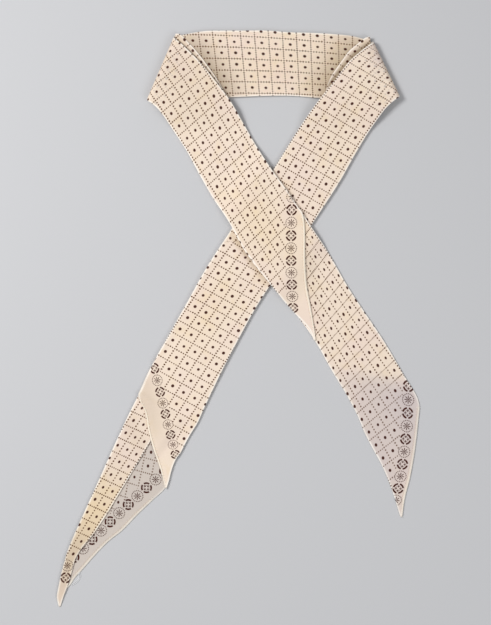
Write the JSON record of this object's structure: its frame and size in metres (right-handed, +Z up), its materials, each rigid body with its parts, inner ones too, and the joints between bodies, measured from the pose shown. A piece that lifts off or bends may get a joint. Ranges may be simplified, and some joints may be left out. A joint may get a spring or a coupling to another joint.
{
  "type": "cravat",
  "caption": "Cravat of printed cotton, folded on the bias into a flat band and laid in a loop, its fronts crossed and its hemmed points apart.",
  "frame": {"origin": "on the surface that the cravat lies on, under the centre of its bounding box", "axes": "+Z up from the surface, +Y along its length towards the back of the neck, +X to the right as it is seen from above"},
  "size_m": [0.319, 0.5066, 0.0084],
  "materials": {
    "printed_cotton": "matt plain-weave cotton, off-white with a small dark brown print",
    "single_layer_cotton": "the same cotton where a thin layer looks greyer"
  },
  "bodies": {
    "root": {"back_band": "printed_cotton", "left_front_band": "printed_cotton", "right_front_band": "printed_cotton", "right_end_layer": "printed_cotton", "left_end_strip": "printed_cotton", "left_end_under_layer": "single_layer_cotton", "left_shoulder_ply": "printed_cotton", "right_shoulder_ply": "printed_cotton"}
  },
  "joints": []
}
